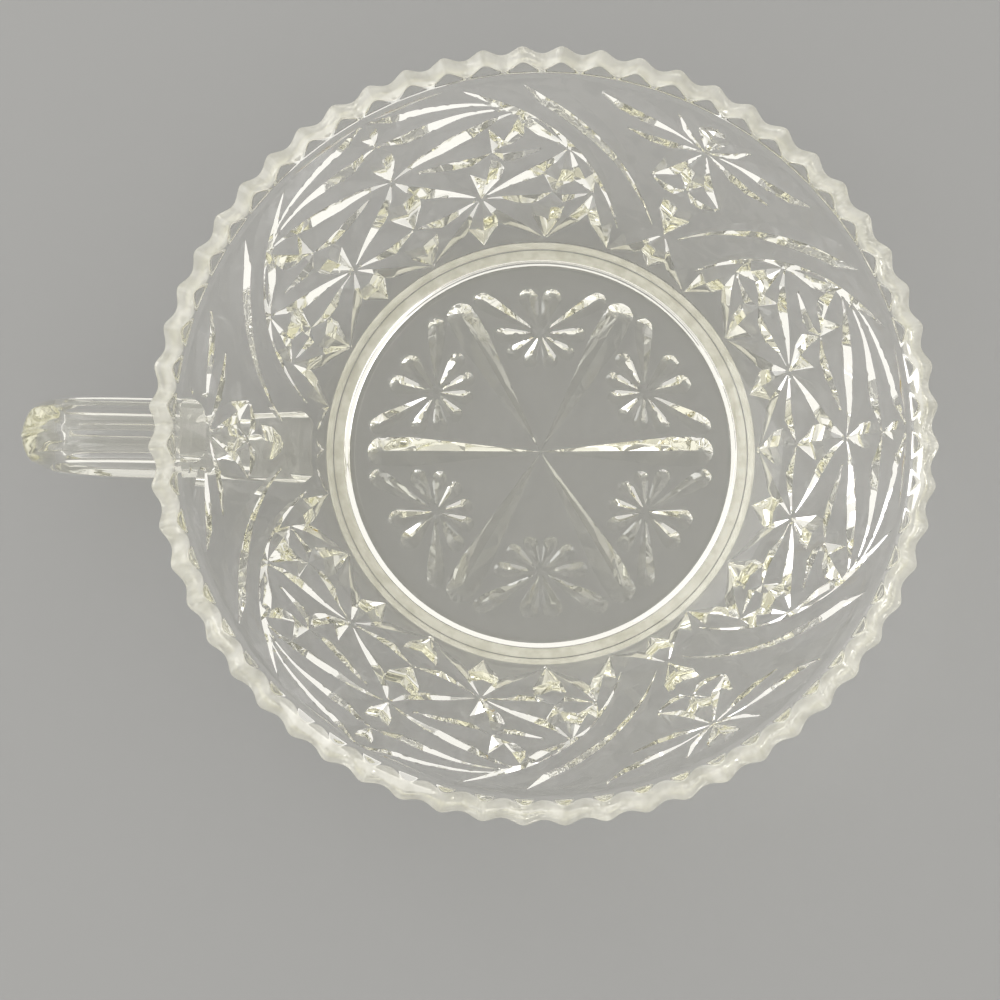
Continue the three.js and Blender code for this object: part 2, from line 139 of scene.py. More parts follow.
@dataclass(frozen=True)
class BowlSection:
    """The bowl's upright section, in millimetres, as (radius, height)."""

    rim_radius: float = 76.0
    height: float = 37.0
    scallops: int = 60
    scallop_rise: float = 1.6
    crest_softness: float = 0.45
    rim_face_width: float = 4.1
    rim_face_tilt: float = math.radians(15)
    rim_flare: float = math.radians(47)
    rim_band_out: float = 3.2
    rim_band_height: float = 2.6
    rim_roundings: tuple[float, ...] = (0.7, 0.5, 0.6, 1.3)
    rim_start_share: float = 0.985
    rim_end_share: float = 0.93
    bead_height: float = 0.45
    wall_top_thickness: float = 3.1
    wall_foot_thickness: float = 5.0
    wall_foot: Pair = (45.3, 3.2)
    belly_out_share: float = 0.5
    belly_up_share: float = 0.42
    foot_taper: float = 1.0
    foot_width: float = 2.5
    foot_roundings: tuple[float, ...] = (0.9, 0.6, 0.6)
    recess_taper: float = 3.0
    recess_cove: float = 1.1
    recess_depth: float = 2.0
    inside_start_share: float = 0.9
    floor_thickness: float = 5.5
    floor_bend_share: float = 0.24
    floor_bend_reach: float = 10.0

    @cached_property
    def flare_along(self) -> Array:
        """The direction in which the rim flares."""
        return np.array([math.cos(self.rim_flare), math.sin(self.rim_flare)])

    @cached_property
    def face_inward(self) -> Array:
        """The direction across the rim's end face, towards the inside."""
        return np.array([-math.cos(self.rim_face_tilt), math.sin(self.rim_face_tilt)])

    @cached_property
    def rim_outer_crest(self) -> Array:
        """The outer edge of the rim's end face at a lobe's crest."""
        return np.array([self.rim_radius, self.height - self.rim_face_width * self.face_inward[1]])

    @cached_property
    def rim_inner_crest(self) -> Array:
        """The inner edge of the rim's end face at a lobe's crest."""
        return self.rim_outer_crest + self.rim_face_width * self.face_inward

    @cached_property
    def wall_top(self) -> Array:
        """Where the wall's outside meets the rim band."""
        crease = self.rim_outer_crest - self.scallop_rise * self.flare_along
        return crease - np.array([self.rim_band_out, self.rim_band_height])

    @cached_property
    def _wall_table(self) -> tuple[Array, Array]:
        """Curve parameters and the slant lengths that they reach, for even steps along the wall."""
        places = np.linspace(0.0, 1.0, WALL_POINTS)
        points = self._wall_curve(places)
        runs = np.hypot(*np.diff(points, axis=0).T)
        return places, np.concatenate([[0.0], np.cumsum(runs)])

    def _wall_curve(self, places: Array) -> Array:
        """The wall's outside as one quadratic curve from the foot to the rim band."""
        return bend(np.array(self.wall_foot), self._belly, self.wall_top, places)

    @cached_property
    def _belly(self) -> Array:
        """The corner that the wall's curve bends towards."""
        foot = self.wall_foot
        return np.array([
            lerp(foot[0], self.wall_top[0], self.belly_out_share),
            lerp(foot[1], self.wall_top[1], self.belly_up_share),
        ])

    @property
    def wall_length(self) -> float:
        """Slant length of the wall's outside."""
        return float(self._wall_table[1][-1])

    @property
    def crease_share(self) -> float:
        """The share of the slant length at which the rounding under the rim band starts."""
        return 1.0 - self.rim_roundings[0] / self.wall_length

    def wall(self, share: Array, lift: Array) -> tuple[Array, Array]:
        """A point of the wall's outside, moved along its outward normal.

        Args:
            share: Share of the slant length, 0 at the foot and 1 at the rim band.
            lift: Distance outwards, negative into the glass.

        Returns:
            Radius and height.
        """
        places, lengths = self._wall_table
        place = np.interp(np.clip(share, 0.0, 1.0) * self.wall_length, lengths, places)
        left = 1.0 - place
        start, corner, end = np.array(self.wall_foot), self._belly, self.wall_top
        point = [
            left * left * start[i] + 2 * left * place * corner[i] + place * place * end[i] for i in (0, 1)
        ]
        along = [left * (corner[i] - start[i]) + place * (end[i] - corner[i]) for i in (0, 1)]
        size = np.hypot(*along)
        return point[0] + lift * along[1] / size, point[1] - lift * along[0] / size

    def outside_radius(self, height: Array) -> Array:
        """The outside's radius at a height, over the wall and the underside of the rim band."""
        curve = self._wall_curve(self._wall_table[0])
        radii = np.append(curve[:, 0], self.rim_outer_crest[0])
        return np.interp(height, np.append(curve[:, 1], self.rim_outer_crest[1]), radii)

    def share_at(self, height: Array) -> Array:
        """The share of the slant length at which the wall's outside reaches a height."""
        places, lengths = self._wall_table
        return np.interp(height, self._wall_curve(places)[:, 1], lengths / self.wall_length)

    @property
    def recess_radius(self) -> float:
        """Radius of the recessed base inside the foot ring."""
        return self.wall_foot[0] - self.foot_taper - self.foot_width - self.recess_taper

    @property
    def floor_height(self) -> float:
        """Height of the inside floor."""
        return self.recess_depth + self.floor_thickness

    def foot_path(self, steps: int) -> Array:
        """The foot ring from the recessed base to the wall's foot, with its corners rounded.

        Args:
            steps: Steps along each rounding.

        Returns:
            Points as (row, (radius, height)).
        """
        outer = self.wall_foot[0] - self.foot_taper
        corners = [
            np.array([self.recess_radius, self.recess_depth]),
            np.array([self.recess_radius + self.recess_cove, self.recess_depth]),
            np.array([outer - self.foot_width, 0.0]),
            np.array([outer, 0.0]),
            np.array(self.wall_foot),
        ]
        return rounded_path(corners, self.foot_roundings, steps)

    def scallop_fall(self, azimuth: Array) -> Array:
        """How far the rim's edge lies below its crests: rounded scoops that meet in softened crests.

        The fall is the rise times one less the square of what is left to the middle of the scoop.

        Args:
            azimuth: Azimuths in degrees.

        Returns:
            Distances along the flare, as the azimuths.
        """
        across = 2.0 * ((azimuth * self.scallops / 360.0) % 1.0) - 1.0
        from_crest = np.hypot(across, self.crest_softness) - self.crest_softness
        from_crest /= math.hypot(1.0, self.crest_softness) - self.crest_softness
        return self.scallop_rise * (1.0 - (1.0 - from_crest) ** 2)

    def rim_path(self, fall: Array, steps: int) -> Array:
        """The rim from the wall's outside round to its inside, rounded, lowered by the scallops.

        A fine bead runs along the crease under the rim band: half a sine wave across the crease's rounding.

        Args:
            fall: How far each column's edge lies below the crests, along the flare.
            steps: Steps along each rounding.

        Returns:
            Points as (row, column, (radius, height)).
        """
        drop = fall[:, None] * self.flare_along
        start = np.full(fall.shape, self.rim_start_share)
        corners = [
            np.stack(self.wall(start, np.zeros(fall.shape)), axis=-1),
            np.broadcast_to(self.wall_top, drop.shape),
            self.rim_outer_crest - drop,
            self.rim_inner_crest - drop,
            self._inner_point(np.ones(fall.shape)),
            self._inner_point(np.full(fall.shape, self.rim_end_share)),
        ]
        path = rounded_path(corners, self.rim_roundings, steps)
        outward = np.stack(self.wall(np.ones(1), np.ones(1)), axis=-1)[0] - self.wall_top
        bead = self.bead_height * np.sin(np.linspace(0.0, math.pi, steps + 1))
        path[1:steps + 2] += bead[:, None, None] * outward
        return path

    def thickness(self, share: Array) -> Array:
        """The wall's thickness, tapering evenly from the foot to the top."""
        return self.wall_foot_thickness + (self.wall_top_thickness - self.wall_foot_thickness) * share

    def _inner_point(self, share: Array) -> Array:
        """Points of the wall's inside, straight across from shares of its outside's slant length."""
        return np.stack(self.wall(share, -self.thickness(share)), axis=-1)

    def inside_path(self, wall_rows: int, bend_rows: int, floor_rows: int) -> Array:
        """The inside from just under the rim down the wall, round the bend and over the floor.

        Args:
            wall_rows: Points down the wall.
            bend_rows: Points round the bend.
            floor_rows: Points over the floor, without its middle.

        Returns:
            Points as (row, (radius, height)).
        """
        share = np.linspace(self.inside_start_share, self.floor_bend_share, wall_rows)
        wall = self._inner_point(share)
        corner_radius = self.wall(np.zeros(1), np.full(1, -self.wall_foot_thickness))[0][0]
        corner = np.array([corner_radius, self.floor_height])
        end = corner - np.array([self.floor_bend_reach, 0.0])
        turn = bend(wall[-1], corner, end, np.linspace(0.0, 1.0, bend_rows + 1)[1:])
        reach = np.linspace(end[0], 0.0, floor_rows + 2)[1:-1]
        floor = np.stack([reach, np.full(reach.shape, self.floor_height)], axis=-1)
        return np.concatenate([wall, turn, floor])


@dataclass(frozen=True)
class Groove:
    """A pressed V groove along a path on a surface, given in that surface's own two coordinates.

    Its far end falls off evenly over the fall. Where there is no fall, it ends in a half cone as wide as
    the groove.
    """

    start: Pair
    end: Pair
    half_width: float
    depth: float
    rise: float
    fall: float
    bend: Pair | None = None

    def mirrored(self, middle: float) -> "Groove":
        """The same groove mirrored about a value of the first coordinate.

        Args:
            middle: The value.

        Returns:
            The mirrored groove.
        """
        def flip(place: Pair) -> Pair:
            """One place, mirrored."""
            return (2.0 * middle - place[0], place[1])

        corner = flip(self.bend) if self.bend else None
        start, end = flip(self.start), flip(self.end)
        return replace(self, start=start, end=end, bend=corner)

    def path(self, scale: Array) -> Array:
        """The valley line: two points for a straight groove, more for a bent one.

        Args:
            scale: Millimetres for one unit of each coordinate.

        Returns:
            Points in millimetres, (count, 2).
        """
        start, end = np.array(self.start) * scale, np.array(self.end) * scale
        if self.bend is None:
            return np.stack([start, end])
        return bend(start, np.array(self.bend) * scale, end, np.linspace(0.0, 1.0, GROOVE_POINTS))

    def planes(self, points: Array, scale: Array) -> Array:
        """Depths of the groove's sides: depth x (fullness along the valley - distance aside / half width).

        Fullness rises from the start, stays level and falls to the end, so each groove has three stretches
        of two sides, and its true depth is the least of the six.

        Args:
            points: Places on the surface, (count, 2), in its own coordinates.
            scale: Millimetres for one unit of each coordinate.

        Returns:
            Six depths for each point, (6, count).
        """
        path = self.path(scale)
        places = points * scale
        runs = np.diff(path, axis=0)
        offset = places[None] - path[:-1, None]
        length2 = (runs ** 2).sum(-1)[:, None]
        along = (offset * runs[:, None]).sum(-1) / length2
        aside = (runs[:, None, 0] * offset[..., 1] - runs[:, None, 1] * offset[..., 0]) / np.sqrt(length2)
        if len(runs) > 1:
            kept = np.clip(along, 0.0, 1.0)
            miss = ((offset - kept[..., None] * runs[:, None]) ** 2).sum(-1)
            pick = miss.argmin(0)[None]
            share = (pick[0] + np.take_along_axis(along, pick, 0)[0]) / len(runs)
            side = np.take_along_axis(aside, pick, 0)[0]
        else:
            share, side = along[0], aside[0]
        level = np.ones_like(share)
        if self.fall > 0.0:
            fullness = np.stack([share / self.rise, level, (1.0 - share) / self.fall])
        else:
            fullness = np.stack([share / self.rise, level, level])
            length = math.sqrt(length2[0, 0])
            past_cone = np.maximum(share * length - (length - self.half_width), 0.0)
            side = np.copysign(np.hypot(side, past_cone), side)
        slopes = np.stack([side, -side]) / self.half_width
        return (self.depth * (fullness[:, None] - slopes[None])).reshape(6, -1)


@dataclass(frozen=True)
class PressedPattern:
    """Grooves on one surface, whose depth anywhere is the greatest of theirs, or none.

    The values after the grooves and their scales are limits that the snapping of a grid works with.
    """

    grooves: tuple[Groove, ...]
    scales: tuple[Pair, ...]
    nudge: float = 0.01
    corner_reach: float = 1.3
    least_slope: float = 1e-9
    least_square: float = 1e-12
    least_cross: float = 1e-3
    out_of_reach: float = 1e6

    def planes(self, points: Array) -> Array:
        """Depths of every side of every groove, (groove, side, point)."""
        return np.stack([g.planes(points, np.array(s)) for g, s in zip(self.grooves, self.scales)])

    def depth(self, points: Array) -> Array:
        """Depth pressed into the surface at each point, (count,)."""
        return np.maximum(self.planes(points).min(1).max(0), 0.0)

    def snapped(self, points: Array, metric: Array, allow: Array, reach: float) -> Array:
        """Grid points moved onto the creases and corners that they lie next to.

        A crease is where two sides have the same depth, so a point moves by minus the difference times its
        gradient over the gradient's square. Where two creases lie within reach, it moves to their crossing.

        Args:
            points: Places on the surface, (count, 2).
            metric: Millimetres for one unit of each coordinate at each point, (count, 2).
            allow: Projection of each point's free directions, (count, 2, 2).
            reach: Furthest that a point moves, in millimetres.

        Returns:
            The moved places, (count, 2).
        """
        sides = self.planes(points)
        slopes = np.stack([
            (self.planes(points + step * self.nudge / metric) - sides) / self.nudge for step in np.eye(2)
        ], axis=-1)
        least = sides.argmin(1)[:, None]
        low = np.take_along_axis(sides, least, 1)[:, 0]
        low_slope = np.take_along_axis(slopes, least[..., None], 1)[:, 0]
        count = np.arange(len(points))
        owner = low.argmax(0)
        plain = low.max(0) <= 0.0
        own = np.where(plain, 0.0, low[owner, count])
        own_slope = np.where(plain[:, None], 0.0, low_slope[owner, count])
        other_gap = own - low
        other_gap[owner, count] = np.where(plain, other_gap[owner, count], np.inf)
        side_gap = np.where(plain, np.inf, sides[owner, :, count].T - own)
        side_gap[least[owner, 0, count], count] = np.inf
        gaps = np.concatenate([other_gap, side_gap, np.where(plain, np.inf, own)[None]])
        gradients = np.concatenate([
            own_slope - low_slope,
            np.moveaxis(slopes[owner, :, count], 1, 0) - own_slope,
            own_slope[None],
        ])
        gradients = np.einsum("nij,gnj->gni", allow, gradients)
        sizes = np.maximum(np.linalg.norm(gradients, axis=-1), self.least_slope)
        distance = gaps / sizes
        nearest = np.argsort(distance, axis=0)[:2]
        gap = np.take_along_axis(gaps, nearest, 0)
        slope = np.take_along_axis(gradients, nearest[..., None], 0)
        near = np.take_along_axis(distance, nearest, 0)
        square = (slope[0] ** 2).sum(-1)[:, None].clip(self.least_square)
        to_line = -gap[0][:, None] * slope[0] / square
        cross = slope[0, :, 0] * slope[1, :, 1] - slope[0, :, 1] * slope[1, :, 0]
        cross = np.where(np.abs(cross) < self.least_cross, np.inf, cross)
        gap = np.where(np.isfinite(gap), gap, self.out_of_reach)
        to_corner = np.stack([
            (slope[0, :, 1] * gap[1] - slope[1, :, 1] * gap[0]) / cross,
            (slope[1, :, 0] * gap[0] - slope[0, :, 0] * gap[1]) / cross,
        ], axis=-1)
        free = np.abs(np.linalg.det(allow)) > 0.5
        close = np.linalg.norm(to_corner, axis=-1) < self.corner_reach * reach
        corner = free & np.isfinite(cross) & (near[1] < reach) & close
        line = ~corner & (near[0] < reach)
        move = np.where(corner[:, None], to_corner, np.where(line[:, None], to_line, 0.0))
        return points + move / metric


@dataclass
class Skin:
    """A closed skin that grows ring by ring about the bowl's axis, in millimetres."""

    points: list[Array] = field(default_factory=list)
    faces: list[Numbers] = field(default_factory=list)
    last: Numbers | None = None

    @property
    def count(self) -> int:
        """Points so far."""
        return sum(len(points) for points in self.points)

    def _place(self, block: Array) -> Numbers:
        """Adds points and returns their numbers, in the shape of the block without its last axis."""
        start = self.count
        self.points.append(block.reshape(-1, 3))
        return start + np.arange(block.size // 3).reshape(block.shape[:-1])

    def _hub(self, height: float) -> int:
        """Adds a point on the axis and returns its number."""
        return int(self._place(np.array([[0.0, 0.0, height]]))[0])

    def open_from(self, height: float, ring: Array) -> None:
        """Starts the skin with a point on the axis and a ring about it.

        Args:
            height: Height of the point.
            ring: Points as (1, column, 3).
        """
        hub = self._hub(height)
        self.last = self._place(ring)[0]
        self.faces.append(fan_cells(self.last, hub)[:, ::-1])

    def grid(self, block: Array, turned: Mask | None = None) -> None:
        """Adds rings of equal count, joined to the last ring.

        Args:
            block: Points as (ring, column, 3).
            turned: True for each cell that is split along its other diagonal.
        """
        numbers = self._place(block)
        if self.last is not None:
            self._join(self.last, numbers[0])
        low, high = numbers[:-1], numbers[1:]
        cells = band_cells(low, high)
        if turned is not None:
            low_next, high_next = np.roll(low, -1, 1), np.roll(high, -1, 1)
            other = np.stack([low, low_next, high, low_next, high_next, high], axis=-1)
            cells = np.where(turned[..., None], other, cells)
        self.faces.append(cells.reshape(-1, 3))
        self.last = numbers[-1]

    def _join(self, low: Numbers, high: Numbers) -> None:
        """Joins two rings whose counts are equal, or one twice the other.

        Args:
            low: The ring that is there already.
            high: The ring that comes next.
        """
        if len(low) == len(high):
            cells = band_cells(low, high)
        elif len(high) == 2 * len(low):
            ahead, first, middle = np.roll(low, -1), high[0::2], high[1::2]
            corners = [low, ahead, middle, low, middle, first, ahead, np.roll(first, -1), middle]
            cells = np.stack(corners, axis=-1)
        else:
            ahead, first, middle = np.roll(high, -1), low[0::2], low[1::2]
            corners = [first, middle, high, middle, ahead, high, middle, np.roll(first, -1), ahead]
            cells = np.stack(corners, axis=-1)
        self.faces.append(cells.reshape(-1, 3))

    def pole(self, height: float) -> None:
        """Closes the skin with a point on the axis."""
        self.faces.append(fan_cells(self.last, self._hub(height)))


def ring_points(azimuth: Array, radius: Array, height: Array) -> Array:
    """Points from azimuths in degrees, radii and heights, which broadcast together."""
    angle = np.radians(azimuth)
    radius, height, angle = np.broadcast_arrays(radius, height, angle)
    return np.stack([radius * np.cos(angle), radius * np.sin(angle), height], axis=-1)


def add_object(name: str, data: bpy.types.ID) -> bpy.types.Object:
    """Makes an object of a mesh, light or camera and puts it into the scene."""
    item = bpy.data.objects.new(name, data)
    bpy.context.scene.collection.objects.link(item)
    return item


def new_piece(name: str, points: Array, faces: Numbers, axis_x: float) -> bpy.types.Object:
    """Makes a mesh object from points in millimetres about the bowl's axis.

    Args:
        name: The piece's name.
        points: Points, (count, 3).
        faces: Triangles, (count, 3).
        axis_x: Where the bowl's axis stands along X in the row frame, in metres.

    Returns:
        The new object, at the origin, with its place in its mesh.
    """
    mesh = bpy.data.meshes.new(name)
    placed = points * MM + np.array([axis_x, 0.0, 0.0])
    mesh.vertices.add(len(placed))
    mesh.vertices.foreach_set("co", placed.astype(np.float32).ravel())
    mesh.loops.add(faces.size)
    mesh.loops.foreach_set("vertex_index", faces.astype(np.int32).ravel())
    mesh.polygons.add(len(faces))
    mesh.polygons.foreach_set("loop_start", np.arange(0, faces.size, 3, dtype=np.int32))
    mesh.update(calc_edges=True)
    mesh.validate()
    mesh.shade_smooth()
    return add_object(name, mesh)


def add_node(tree: bpy.types.NodeTree, kind: str, **values: float | tuple[float, ...]) -> bpy.types.Node:
    """Adds a shader node.

    Args:
        tree: The tree that it goes into.
        kind: Its type, without the leading ShaderNode.
        **values: Values of its inputs, by name.

    Returns:
        The new node.
    """
    node = tree.nodes.new("ShaderNode" + kind)
    for name, value in values.items():
        node.inputs[name].default_value = value
    return node


def colour_mix(tree: bpy.types.NodeTree, first: Colour, last: Colour) -> bpy.types.Node:
    """Adds a node that mixes two colours.

    Args:
        tree: The tree that it goes into.
        first: The colour where its Factor is 0.
        last: The colour where its Factor is 1.

    Returns:
        The new node.
    """
    mix = add_node(tree, "Mix")
    mix.data_type = "RGBA"
    for name, colour in (("A", first), ("B", last)):
        mix.inputs[name].default_value = (*colour, 1.0)
    return mix


@dataclass(frozen=True)
class FirePolish:
    """The skin that fire polishing leaves: scale and detail of its three noises, and the mottles' range."""

    name: str = "fire_polish"
    ripple: Pair = (110.0, 1.5)
    patches: Pair = (45.0, 4.0)
    specks: Pair = (320.0, 2.0)
    mottle: Pair = (0.42, 0.62)
    usual_haze: float = 0.02

    def group(self) -> bpy.types.NodeTree:
        """The node group, made once: a slow ripple, a faint patchy haze and a mask of small mottles.

        Returns:
            The group's tree.
        """
        if self.name in bpy.data.node_groups:
            return bpy.data.node_groups[self.name]
        tree = bpy.data.node_groups.new(self.name, "ShaderNodeTree")
        haze = tree.interface.new_socket("Haze", in_out="INPUT", socket_type="NodeSocketFloat")
        haze.default_value = self.usual_haze
        for output in ("Roughness", "Height", "Mottle"):
            tree.interface.new_socket(output, in_out="OUTPUT", socket_type="NodeSocketFloat")
        links = tree.links
        entry = tree.nodes.new("NodeGroupInput")
        result = tree.nodes.new("NodeGroupOutput")
        place = add_node(tree, "TexCoord")
        noises = []
        for scale, detail in (self.ripple, self.patches, self.specks):
            noises.append(add_node(tree, "TexNoise", Scale=scale, Detail=detail))
            links.new(place.outputs["Object"], noises[-1].inputs["Vector"])
        ripple, patches, specks = noises
        low, high = self.mottle
        mottle = add_node(tree, "MapRange", **{"From Min": low, "From Max": high})
        patchy = add_node(tree, "Math")
        patchy.operation = "MULTIPLY"
        links.new(specks.outputs["Fac"], mottle.inputs["Value"])
        links.new(mottle.outputs["Result"], result.inputs["Mottle"])
        links.new(patches.outputs["Fac"], patchy.inputs[0])
        links.new(entry.outputs["Haze"], patchy.inputs[1])
        links.new(patchy.outputs["Value"], result.inputs["Roughness"])
        links.new(ripple.outputs["Fac"], result.inputs["Height"])
        return tree


def glass_shader(
    material: bpy.types.Material, clearness: float, ior: float, haze: float,
) -> tuple[bpy.types.Node, bpy.types.Node]:
    """Makes a material's shader glass, with the roughness of a fire-polished skin.

    Args:
        material: A new material.
        clearness: Share of the light that passes through.
        ior: Index of refraction.
        haze: Roughness where the skin's patches are fullest.

    Returns:
        The shader and the node of the fire-polished skin.
    """
    material.use_nodes = True
    tree = material.node_tree
    shader = tree.nodes["Principled BSDF"]
    shader.inputs["Transmission Weight"].default_value = clearness
    shader.inputs["IOR"].default_value = ior
    polish = add_node(tree, "Group")
    polish.node_tree = FirePolish().group()
    polish.inputs["Haze"].default_value = haze
    tree.links.new(polish.outputs["Roughness"], shader.inputs["Roughness"])
    return shader, polish


@dataclass(frozen=True)
class PressedGlass:
    """Clear pressed glass with a fire-polished skin."""

    name: str
    tint: Colour = (0.99, 0.988, 0.975)
    body_colour: Colour = (0.98, 0.972, 0.88)
    body_density: float = 24.0
    ior: float = 1.5
    shade: Colour = (1.0, 1.0, 1.0)
    slant_shade: Colour = (0.75, 0.75, 0.73)
    slant_blend: float = 0.5
    haze: float = 0.02
    ripple: float = 0.05

    def material(self) -> bpy.types.Material:
        """Makes the material: a clear dielectric that lets lamps through in shadow rays.

        Returns:
            The new material.
        """
        material = bpy.data.materials.new(self.name)
        shader, polish = glass_shader(material, 1.0, self.ior, self.haze)
        tree = material.node_tree
        links, output = tree.links, tree.nodes["Material Output"]
        shader.inputs["Base Color"].default_value = (*self.tint, 1.0)
        bump = add_node(tree, "Bump", Strength=self.ripple, Distance=MM)
        links.new(polish.outputs["Height"], bump.inputs["Height"])
        links.new(bump.outputs["Normal"], shader.inputs["Normal"])
        slant = add_node(tree, "LayerWeight", Blend=self.slant_blend)
        dim = colour_mix(tree, self.shade, self.slant_shade)
        links.new(slant.outputs["Facing"], dim.inputs["Factor"])
        clear = add_node(tree, "BsdfTransparent")
        links.new(dim.outputs["Result"], clear.inputs["Color"])
        path = add_node(tree, "LightPath")
        mix = add_node(tree, "MixShader")
        links.new(path.outputs["Is Shadow Ray"], mix.inputs["Fac"])
        links.new(shader.outputs["BSDF"], mix.inputs[1])
        links.new(clear.outputs["BSDF"], mix.inputs[2])
        links.new(mix.outputs["Shader"], output.inputs["Surface"])
        body = add_node(tree, "VolumeAbsorption", Color=(*self.body_colour, 1.0), Density=self.body_density)
        links.new(body.outputs["Volume"], output.inputs["Volume"])
        return material


@dataclass(frozen=True)
class ScuffedGlass:
    """Glass whose skin is worn to a pale, mottled matt that is more or less clear."""

    name: str
    clearness: float
    haze: float
    pale: Colour = (0.98, 0.965, 0.88)
    dull: Colour = (0.84, 0.825, 0.73)
    ior: float = 1.5

    def material(self) -> bpy.types.Material:
        """Makes the material: matt glass whose colour and roughness are patchy.

        Returns:
            The new material.
        """
        material = bpy.data.materials.new(self.name)
        shader, polish = glass_shader(material, self.clearness, self.ior, self.haze)
        tree = material.node_tree
        wear = colour_mix(tree, self.pale, self.dull)
        tree.links.new(polish.outputs["Mottle"], wear.inputs["Factor"])
        tree.links.new(wear.outputs["Result"], shader.inputs["Base Color"])
        return material


@dataclass
class HandleLoop:
    """The finger loop: a band along two curves, fluted on top, crowned at the bend, from rim to foot.

    Sizes are in millimetres. Rises, falls, ends and spans are shares of the loop's length.
    """

    section: BowlSection
    reach: float = 103.0
    width: float = 13.6
    face_width: float = 9.5
    thickness: float = 5.0
    crown: float = 3.0
    crown_rise: Pair = (0.27, 0.42)
    crown_fall: Pair = (0.7, 0.9)
    face_crown: float = 0.44
    top_height: float = 28.5
    rise: float = 4.5
    turn_height: float = 24.0
    foot_height: float = 8.5
    upper_arm: float = 0.4
    lower_arm: float = 0.6
    root_flare: float = 0.2
    flare_span: Pair = (0.7, 1.0)
    root_sink: float = 6.0
    flute_depth: float = 0.9
    flute_end: Pair = (0.285, 0.325)
    flute_shape: tuple[Pair, ...] = ((0.12, 0.98), (0.3, 0.94), (0.6, 0.79), (0.82, 0.6))
    flank_share: float = 0.6
    flank_end: Pair = (0.265, 0.305)
    rib_width: float = 1.0
    seam_height: float = 0.3
    seam_share: float = 0.3
    corner_cut: float = 0.22
    seat: float = 0.15
    stations: int = 150
    trials: int = 6
    crease_angle: float = math.radians(35)

    def _root_radius(self, height: float) -> float:
        """Radius at which the middle line starts or ends, inside the wall."""
        foot, top = self.section.wall_foot[1], self.section.wall_top[1]
        even = np.array([(height - foot) / (top - foot)])
        return float(self.section.wall(even, np.array([-self.root_sink]))[0][0])

    @cached_property
    def _line_table(self) -> tuple[Array, Array, Array]:
        """Shares of the loop's length, with the middle line's points and unit directions there.

        The line is two cubic curves joined at the turn, as (radius, height).
        """
        turn = self.reach - self.thickness / 2 - self.crown
        arm = turn - self.section.wall_top[0]
        upper = np.array([
            (self._root_radius(self.top_height), self.top_height),
            (turn - self.upper_arm * arm, self.top_height + self.rise),
            (turn, self.top_height + self.rise),
            (turn, self.turn_height),
        ])
        lower = np.array([
            (turn, self.turn_height),
            (turn, self.foot_height + self.thickness / 2),
            (turn - self.lower_arm * arm, self.foot_height),
            (self._root_radius(self.foot_height), self.foot_height),
        ])
        place = np.linspace(0.0, 1.0, LOOP_POINTS)[:, None]
        left = 1.0 - place
        curves = [
            left ** 3 * a + 3 * left ** 2 * place * b + 3 * left * place ** 2 * c + place ** 3 * d
            for a, b, c, d in (upper, lower)
        ]
        points = np.concatenate([curves[0], curves[1][1:]])
        lengths = np.concatenate([[0.0], np.cumsum(np.hypot(*np.diff(points, axis=0).T))])
        share = lengths / lengths[-1]
        ahead = np.gradient(points, share, axis=0)
        return share, points, ahead / np.linalg.norm(ahead, axis=-1, keepdims=True)

    def line(self, share: Array) -> tuple[Array, Array]:
        """The middle line at shares of its length.

        Args:
            share: The shares.

        Returns:
            Points and unit directions, each (count, 2).
        """
        at, points, ahead = self._line_table
        place = np.stack([np.interp(share, at, column) for column in points.T], axis=-1)
        way = np.stack([np.interp(share, at, column) for column in ahead.T], axis=-1)
        return place, way / np.linalg.norm(way, axis=-1, keepdims=True)

    def root_half_width(self, root: Root) -> float:
        """Half the handle's width where it meets the wall."""
        flare = self.root_flare if root is Root.NEAR_FOOT else 0.0
        return 0.5 * self.width * (1.0 + flare)

    def root_height(self, root: Root) -> float:
        """Height of the handle's middle where it meets the wall.

        Args:
            root: Which of the two places.

        Returns:
            The height in millimetres.
        """
        points = self._line_table[1]
        half = len(points) // 2
        points = points[:half] if root is Root.UNDER_RIM else points[half:]
        wall = self.section.wall(self.section.share_at(points[:, 1]), np.zeros(len(points)))[0]
        return float(points[np.abs(points[:, 0] - wall).argmin(), 1])

    def outline(self, share: Array) -> tuple[Array, Array]:
        """The band's section: chamfered sides, two flutes either side of a rib, a crown at the bend.

        The corners are cut twice, so each edge comes out rounded.

        Args:
            share: Places along the loop.

        Returns:
            Distances across and outwards, each (station, corner).
        """
        width = 1.0 + self.root_flare * smooth_step(share, *self.flare_span)
        crowned = smooth_step(share, *self.crown_rise) - smooth_step(share, *self.crown_fall)
        middle = self.flute_depth * (1.0 - smooth_step(share, *self.flute_end))
        flank = self.flank_share * self.flute_depth * (1.0 - smooth_step(share, *self.flank_end))
        crown = self.crown * crowned
        side = 0.5 * self.width * width
        face = 0.5 * self.face_width * width
        top = np.full(share.shape, self.thickness / 2)
        rib = np.full(share.shape, self.rib_width / 2)
        half = [(self.seam_share * rib, top + crown + self.seam_height * crowned), (rib, top + crown)]
        for (across, crown_share), depth in zip(self.flute_shape, (flank, middle, middle, flank)):
            half.append((lerp(rib, face, across), top - depth + crown_share * crown))
        half += [(face, top + self.face_crown * crown), (side, np.zeros(share.shape)), (face, -top)]
        corners = half + [(-across, out) for across, out in reversed(half)]
        ring = np.stack([np.stack(corner, axis=-1) for corner in corners], axis=1)
        near, far = 1.0 - self.corner_cut, self.corner_cut
        for _ in range(2):
            ahead = np.roll(ring, -1, 1)
            ring = np.stack([near * ring + far * ahead, far * ring + near * ahead], axis=2)
            ring = ring.reshape(len(share), -1, 2)
        return ring[..., 0], ring[..., 1]

